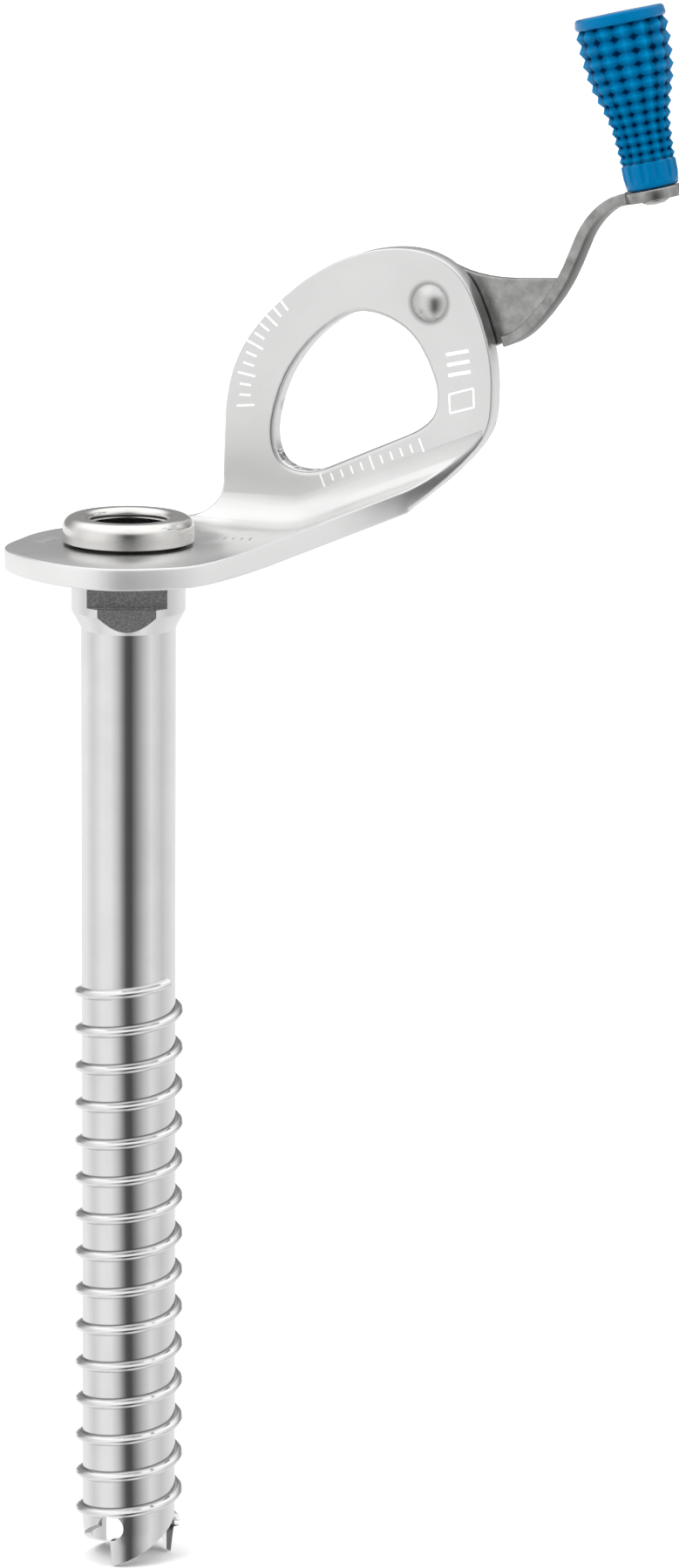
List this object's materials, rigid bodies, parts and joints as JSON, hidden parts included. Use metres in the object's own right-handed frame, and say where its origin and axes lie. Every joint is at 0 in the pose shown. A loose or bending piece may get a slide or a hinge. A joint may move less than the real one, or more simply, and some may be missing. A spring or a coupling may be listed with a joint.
{
  "type": "ice screw",
  "caption": "Tubular ice screw with external thread, cutting teeth, bent hanger with carabiner eye, and a folding crank with a spinning spiked knob.",
  "frame": {"origin": "on the tube axis at the underside of the hanger", "axes": "+Z along the tube axis from the cutting teeth to the head, +X to the right of the front view, +Y to the back"},
  "size_m": [0.1093, 0.0484, 0.2623],
  "materials": {
    "tube_steel": "polished plated steel",
    "ring_steel": "polished",
    "hanger_steel": "satin bead-blasted",
    "rivet_steel": "polished",
    "washer_steel": "satin",
    "arm_steel": "tumbled, mottled grey",
    "axle_steel": "satin",
    "knob_plastic": "satin moulded blue"
  },
  "bodies": {
    "screw": {"screw_tube": "tube_steel", "head_ring": "ring_steel", "hanger": "hanger_steel", "pivot_rivet": "rivet_steel", "crank_spring_washer": "washer_steel", "pivot_back_washer": "washer_steel"},
    "crank": {"crank_arm": "arm_steel", "knob_axle": "axle_steel", "axle_retainer": "axle_steel"},
    "knob": {"knob": "knob_plastic", "knob_end_cap": "knob_plastic"}
  },
  "joints": [
    {"name": "crank_fold", "type": "hinge", "parent": "screw", "child": "crank", "pos_m": [0.04871, 0.00648, 0.0425], "axis": [-0.3907, -0.9205, 0], "range_deg": [0, 155]},
    {"name": "knob_spin", "type": "hinge", "parent": "crank", "child": "knob", "pos_m": [0.08428, -0.00449, 0.0629], "axis": [-0.2071, 0.0879, 0.9744], "continuous": true}
  ]
}
